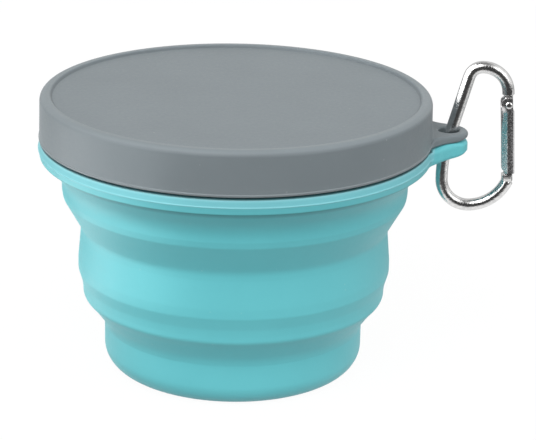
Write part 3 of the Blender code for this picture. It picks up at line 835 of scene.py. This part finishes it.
def rodLine(straightRun):
    # Straight runs and left-hand bends from the rod's end above the gate round to the nose; returns the
    # points and the heading at each, in degrees.
    moves = [(rod["endRun"], 0), (rod["topGateBend"], 90), (rod["topSpineBend"], 90 - rod["spineLean"]),
             (straightRun, 0), (rod["bowRadius"], rod["bowTurn"]),
             (rod["bottomBend"], 90 + rod["spineLean"] - rod["bowTurn"]), (rod["noseBend"], rod["noseTurn"])]
    points, headings = [np.zeros((1, 2))], [np.array([90.0])]
    for size, turn in moves:
        start, heading = points[-1][-1], headings[-1][-1]
        if turn == 0:
            share = np.linspace(0, 1, max(2, math.ceil(size / rod["run"])) + 1)[1:]
            points.append(start + share[:, None] * size * towards(heading))
            headings.append(np.full(len(share), heading))
        else:
            turned = np.linspace(0, turn, max(3, math.ceil(turn / rod["turnStep"])) + 1)[1:]
            centre = start + size * towards(heading + 90)
            points.append(centre + size * towards(heading - 90 + turned))
            headings.append(heading + turned)
    return np.vstack(points), np.hstack(headings)


def swept(*rows):
    # At each point (u, v) of a line a ring across its heading: a superellipse of the given half width,
    # half depth and exponent.
    u, v, heading, halfWidth, halfDepth, exponent = (row[:, None] for row in rows)
    angle, turn = fullTurn(rod["sides"]), np.radians(heading)
    cos, sin, power = np.cos(angle), np.sin(angle), 2 / exponent
    across = np.sign(cos) * np.abs(cos) ** power * halfWidth
    depth = np.sign(sin) * np.abs(sin) ** power * halfDepth
    return placed(u - np.sin(turn) * across, depth, v + np.cos(turn) * across)


def carabinerRod(name):
    # Tongue tip, tongue, the rod's end face and its bevel, the bent rod, then the nose block and catch.
    short, _ = rodLine(0.0)
    spineRun = short[-1, 0] / math.sin(math.radians(rod["spineLean"]))
    line, headings = rodLine(spineRun)
    drop, radius, chamfer = rod["rivetDrop"], rod["radius"], rod["endBreak"]
    line = line + np.array([0, drop])

    tip = np.radians(np.linspace(rod["tipTurn"], 0, rod["tipRings"]))
    half, flat = rod["tongueHalfWidth"], np.ones(len(tip) + 2)
    tipV = drop - rod["tongueEnd"] + half * (1 - np.sin(tip))
    startV = np.hstack([tipV, drop - rod["tongueGap"], drop, drop, drop + chamfer])
    startWidth = np.hstack([half * np.cos(tip), half, half, radius - chamfer, radius])
    startDepth = np.hstack([rod["tongueHalfDepth"] * flat, radius - chamfer, radius])
    startSquare = np.hstack([rod["tongueSquare"] * flat, 2.0, 2.0])

    noseTop = line[-1, 1]
    keep = np.linalg.norm(line - line[0], axis=1) >= rod["bevelReach"]
    last = slice(-rod["noseSteps"], None)
    keep[last] &= line[last, 1] < noseTop - rod["noseReach"]
    line, headings = line[keep], headings[keep]
    rise, *noseSizes = np.array(rod["nose"]).T
    stretches = ((0.0, startV, 90.0, startWidth, startDepth, startSquare),
                 (*line.T, headings, radius, radius, 2.0),
                 (line[-1, 0], noseTop + rise, 90.0 + 360, *noseSizes))
    rows = np.hstack([np.stack(np.broadcast_arrays(*stretch)) for stretch in stretches])
    return gridPiece(name, swept(*rows), sharpAngle=35)


gate = {
    "top": 0.0021,  # above the rivet
    "bottom": -0.0231,
    "outer": 0.0018,
    "width": 0.0041,
    "thickness": 0.0041,
    "wall": 0.00055,
    "backRound": 0.0006,
    "earRound": 0.0014,
    "heelRound": 0.0009,
    "heelStep": 0.0010,
    "notch": -0.0022,  # the back starts this far below the rivet
    "notchShare": 0.8,  # the notch takes away this share of the back's rounding
    "catchSlot": 0.00100,  # half width of the slot that the catch enters
    "slotEdge": 0.00003,  # from there to the columns at both sides of the slot's edge
    "catchHeight": 0.0032,
    "lip": 0.00012,  # bevel of the sheet's cut edges
    "legLean": 0.00120,  # how far the free edges lean in below the ears
    "legLeanWidth": 0.00190,
    "leanDepth": 0.0030,  # reached this far below the rivet
    "backLean": 0.00040,  # how far the sides lean in towards the back
    "backLeanWidth": 0.0013,
    "legColumns": 22,
    "cornerColumns": 13,
    "rows": 40,
}


def gatePiece(name):
    # A bent channel: for each place along its U-shaped section, a ring goes up the outside and down the
    # inside between a lower and an upper height that follow the ears, the heel and the two slots.
    half, width, outer, back = gate["thickness"] / 2, gate["width"], gate["outer"], gate["backRound"]
    slot, slotEdge, lip = gate["catchSlot"], gate["slotEdge"], gate["lip"]
    legs = np.linspace(-width, -back, gate["legColumns"])
    corner = np.radians(np.linspace(0, 90, gate["cornerColumns"]))[1:]

    def side(inset):
        # Leg, corner and back of the section, inset from its outer face, on one side and the other.
        tight = back - inset
        u = np.hstack([legs, -back + tight * np.sin(corner), -inset, -inset])
        y = np.hstack([np.full(len(legs), half - inset), half - back + tight * np.cos(corner),
                       slot + slotEdge, slot - slotEdge])
        return np.hstack([u, u[::-1]]) + outer, np.hstack([y, -y[::-1]])

    outerU, outerY = side(0)
    innerU, innerY = side(gate["wall"])
    inwards = outer - outerU
    fromEdge = width - inwards

    def curve(radius):
        # Square root of the radius squared less the square of the way into the rounding.
        return np.sqrt(radius ** 2 - np.clip(radius - fromEdge, 0, radius) ** 2)

    ear, heel = gate["earRound"], gate["heelRound"]
    top = np.where(inwards < back * gate["notchShare"], gate["notch"], gate["top"] - ear + curve(ear))
    low = gate["bottom"] + np.where(fromEdge < heel, gate["heelStep"] + heel - curve(heel), 0)
    low = np.where(np.abs(outerY) < slot, gate["bottom"] + gate["catchHeight"], low)

    outside = low + lip + (top - low - 2 * lip) * np.linspace(0, 1, gate["rows"])[:, None]
    u, y = (np.vstack([0.5 * (a + b)[None], a + 0 * outside, 0.5 * (a + b)[None], b + 0 * outside])
            for a, b in ((outerU, innerU), (outerY, innerY)))
    v = np.vstack([low[None], outside, top[None], outside[::-1]])
    free = np.clip((u + width - outer) / gate["legLeanWidth"], 0, 1)
    down = smooth(-v / gate["leanDepth"])
    backwards = np.clip((u - outer + gate["backLeanWidth"]) / gate["backLeanWidth"], 0, 1)
    y = y - np.sign(y) * (gate["legLean"] * (1 - free) * down + gate["backLean"] * backwards)
    return gridPiece(name, placed(u, y, v).transpose(1, 0, 2), sharpAngle=25)


rivet = {
    "radius": 0.0007,
    "headRadius": 0.00115,
    "headInner": 0.96,  # share of it at the head's underside
    "headHeight": 0.00045,
    "half": 0.00235,  # from the middle to the underside of a head
    "domeTurn": 84,
    "domeRings": 12,
    "sides": 40,
}


def rivetPiece(name):
    # A pin with a low dome at each end, turned round an axis along Y.
    head, angle = rivet["headRadius"], fullTurn(rivet["sides"])
    rise = np.radians(np.linspace(0, rivet["domeTurn"], rivet["domeRings"]))
    upperR = np.hstack([rivet["radius"], head * rivet["headInner"], head * np.cos(rise)])
    upperY = rivet["half"] + rivet["headHeight"] * np.hstack([0, 0, np.sin(rise)])
    radius, along = (np.hstack(row)[:, None] for row in ((upperR[::-1], upperR), (-upperY[::-1], upperY)))
    return gridPiece(name, placed(radius * np.cos(angle), along, radius * np.sin(angle)))


coil = {
    "radius": 0.00095,
    "wire": 0.00016,
    "turns": 11,
    "offset": -0.0002,
    "gap": 0.0002,  # left free at both ends
    "turnSteps": 30,
    "wireSides": 10,
}


def coilPiece(name, node):
    # A helix of round wire between the node's lowest and highest point.
    low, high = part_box(node)
    lean, wire = math.cos(math.radians(rod["hangLean"])), coil["wire"]
    top = (high.z - rivetPlace[2]) / lean - coil["gap"]
    bottom = (low.z - rivetPlace[2]) / lean + coil["gap"]
    turns = np.linspace(0, 2 * math.pi * coil["turns"], coil["turns"] * coil["turnSteps"] + 1)[:, None]
    rise = np.linspace(bottom + wire, top - wire, len(turns))[:, None]
    ring = fullTurn(coil["wireSides"])
    reach = coil["radius"] + wire * np.cos(ring)
    u, y = reach * np.cos(turns) + coil["offset"], reach * np.sin(turns)
    return gridPiece(name, placed(u, y, rise + wire * np.sin(ring)))


rodPiece = carabinerRod("carabinerRod")
gateChannel = gatePiece("gateChannel")
gateRivet = rivetPiece("gateRivet")
gateCoil = coilPiece("gateCoil", "gate_spring")
dress(rodPiece, brightMetal, "polished_metal", "carabiner_body")
dress(gateChannel, gateMetal, "polished_metal", "carabiner_gate")
dress(gateRivet, brightMetal, "polished_metal", "gate_rivet")
dress(gateCoil, springSteel, "spring_steel", "gate_spring")
paint(frame["nodes"]["gate_plunger"], springSteel)
for piece, body in ((rodPiece, "carabiner"), (gateRivet, "carabiner"),
                    (gateChannel, "gate"), (gateCoil, "gate")):
    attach(piece, body)
print("carabiner made")


# Floor, lights and camera

studio = {
    "floorHalf": 6.0,
    "floorPoints": 5,  # along each side
    "floorLevel": -0.00006,
    "floorRoughness": 0.9,
    "floorSeen": 0.90,  # the floor's own colour for the camera
    "floorBounce": 0.36,  # and for soft light
    "floorLeftPaintedLight": 0.60,  # and that at the left of the object, paler: a painted pool of light
    "leftFade": (-0.12, -0.02),  # one turns into the other between these
    "floorWhite": 1.02,
    "floorGlow": 0.94,  # share of plain white that is seen on the floor
    "tableEdge": -0.17,  # nearer the camera than this the floor is dark for soft light
    "tableFade": 0.05,
    "mirrorEdge": -0.10,  # and in mirrors
    "mirrorFade": 0.03,
    "frontDark": 0.06,
    # brightness in mirrors: the floor behind the object, the dark front and the box at the left
    "floorBehind": 0.50,
    "behindFade": (0.05, 0.11),  # the first is reached between these
    "mirrorDark": 0.065,
    "softbox": 5.0,
    "softboxTurns": (-108.0, -38.0),  # its edges, in degrees from the camera's side towards the right
    "softboxFade": (-0.13, -0.07),  # on the floor it lies to the left of these
    "darkTurns": (-30.0, 36.0),  # edges of the dark front
    "turnFade": 0.1,  # how far those edges fade to either side, in radians
    "darkTop": 0.86,  # sine of the height at which both end
    "darkTopFade": 0.05,
    # and the back of the room and its ceiling
    "roomBehind": 0.70,
    "roomFade": (0.3, 0.7),
    "ceiling": 0.30,
    "worldLow": 0.90,  # soft light from the horizon
    "worldHigh": 0.52,  # and from straight above
}
lamps = {
    "keyLight": {"place": (-0.36, -1.10, 1.27), "size": 1.2, "power": 12.6},
    "fillLight": {"place": (1.2, -1.0, 0.9), "size": 1.2, "power": 5.0},
}
lampTarget = Vector((0, 0, 0.05))


def rayKinds(tree):
    # 1 for a ray from the camera or through glass, and 1 for a ray off a mirror.
    path = add(tree, "LightPath", {})
    seen = math2(tree, "MAXIMUM", path["Is Camera Ray"], path["Is Transmission Ray"])
    return seen, path["Is Glossy Ray"]


def step(tree, source, edge, fade, first=0, last=1):
    # A number that goes from first to last at an edge, over fade to either side of it.
    return ramp(tree, source, edge - fade, edge + fade, first, last)


def facing(tree, x, y, turns):
    # 1 between two directions, in degrees from the camera's side towards the right.
    turn, fade = math2(tree, "ARCTAN2", x, times(tree, y, -1)), studio["turnFade"]
    low, high = np.radians(turns).tolist()
    return times(tree, step(tree, turn, low, fade), step(tree, turn, high, fade, 1, 0))


def makeFloor():
    side = np.linspace(-studio["floorHalf"], studio["floorHalf"], studio["floorPoints"])
    x, y = np.meshgrid(side, side, indexing="ij")
    points = np.stack([x, y, np.full_like(x, studio["floorLevel"])], -1).reshape(-1, 3)
    index = np.arange(x.size).reshape(x.shape)
    faces = np.stack([index[:-1, :-1], index[1:, :-1], index[1:, 1:], index[:-1, 1:]], -1).reshape(-1, 4)
    mesh = bpy.data.meshes.new("floor")
    mesh.from_pydata(points.tolist(), [], faces.tolist())
    floor = linked("floor", mesh)
    made, tree, shader = newMaterial("paleFloor")
    seen, mirrored = rayKinds(tree)
    x, y, _ = axes(tree)
    table = step(tree, y, studio["tableEdge"], studio["tableFade"])
    # for soft light the floor is paler at the left: a painted pool of light
    pale = ramp(tree, x, *studio["leftFade"], studio["floorLeftPaintedLight"], studio["floorBounce"])
    bounce = mixed(tree, table, studio["frontDark"], pale)
    feed(tree, shader, {
        "Base Color": mixed(tree, seen, bounce, studio["floorSeen"]),
        "Roughness": studio["floorRoughness"],
        "Specular IOR Level": 0.0,
    })
    left = ramp(tree, x, *studio["softboxFade"], 1, 0)
    lit = times(tree, facing(tree, x, y, studio["softboxTurns"]), left)
    behind = ramp(tree, y, *studio["behindFade"], 1.0, studio["floorBehind"])
    near = step(tree, y, studio["mirrorEdge"], studio["mirrorFade"])
    plain = mixed(tree, near, studio["mirrorDark"], behind)
    mirror = mixed(tree, lit, plain, studio["softbox"])
    glow = add(tree, "Emission", {"Strength": mixed(tree, mirrored, studio["floorWhite"], mirror)})
    share = mixed(tree, mirrored, times(tree, seen, studio["floorGlow"]), 1.0)
    surface = add(tree, "MixShader", {0: share, 1: shader.outputs["BSDF"], 2: glow["Emission"]})
    feed(tree, tree.nodes["Material Output"], {"Surface": surface["Shader"]})
    mesh.materials.append(made)


def makeWorld():
    # White behind the object, and soft light on it that is a little weaker from above. In mirrors the
    # room is white too, with a bright box at the left, a dark front, a dim ceiling and a greyer back.
    world = bpy.data.worlds.new("studio")
    bpy.context.scene.world = world
    world.use_nodes = True
    tree = world.node_tree
    seen, mirrored = rayKinds(tree)
    x, y, z = axes(tree, "Generated")
    under = step(tree, z, studio["darkTop"], studio["darkTopFade"], 1, 0)
    room = ramp(tree, y, *studio["roomFade"], 1.0, studio["roomBehind"])
    mirror = mixed(tree, under, studio["ceiling"], room)
    for turns, brightness in (("softboxTurns", "softbox"), ("darkTurns", "mirrorDark")):
        share = times(tree, facing(tree, x, y, studio[turns]), under)
        mirror = mixed(tree, share, mirror, studio[brightness])
    soft = ramp(tree, z, 0, 1, studio["worldLow"], studio["worldHigh"])
    strength = mixed(tree, seen, mixed(tree, mirrored, soft, mirror), 1.0)
    feed(tree, tree.nodes["Background"], {"Color": (1, 1, 1, 1), "Strength": strength})


def areaLight(name, lamp):
    light = bpy.data.lights.new(name, "AREA")
    light.shape = "DISK"
    light.size = lamp["size"]
    light.energy = lamp["power"]
    made = linked(name, light)
    made.location = lamp["place"]
    made.rotation_euler = (lampTarget - Vector(lamp["place"])).to_track_quat("-Z", "Y").to_euler()


view = {
    "distance": 0.7312,
    "height": 0.3020,
    "pan": 0.848,
    "tilt": 19.125,
    "roll": 1.1746,
    "lens": 160.75,
    "sensor": 36,
    "nearest": 0.01,
}


def makeCamera():
    # Stands at (0, -distance, height), panned to the right, tilted down and rolled, in degrees.
    pan, tilt, roll = (math.radians(view[key]) for key in ("pan", "tilt", "roll"))
    ahead = Vector((math.sin(pan) * math.cos(tilt), math.cos(pan) * math.cos(tilt), -math.sin(tilt)))
    right = Vector((math.cos(pan), -math.sin(pan), 0))
    up = right.cross(ahead)
    turnedRight = math.cos(roll) * right + math.sin(roll) * up
    turnedUp = -math.sin(roll) * right + math.cos(roll) * up
    data = bpy.data.cameras.new("camera")
    data.sensor_width = view["sensor"]
    data.lens = view["lens"]
    data.clip_start = view["nearest"]
    camera = linked("camera", data)
    turn = Matrix((turnedRight, turnedUp, -ahead)).transposed()
    camera.matrix_world = Matrix.Translation((0, -view["distance"], view["height"])) @ turn.to_4x4()
    bpy.context.scene.camera = camera


makeFloor()
makeWorld()
for name, lamp in lamps.items():
    areaLight(name, lamp)
makeCamera()
bpy.context.scene.view_settings.view_transform = "Standard"
print("studio made")
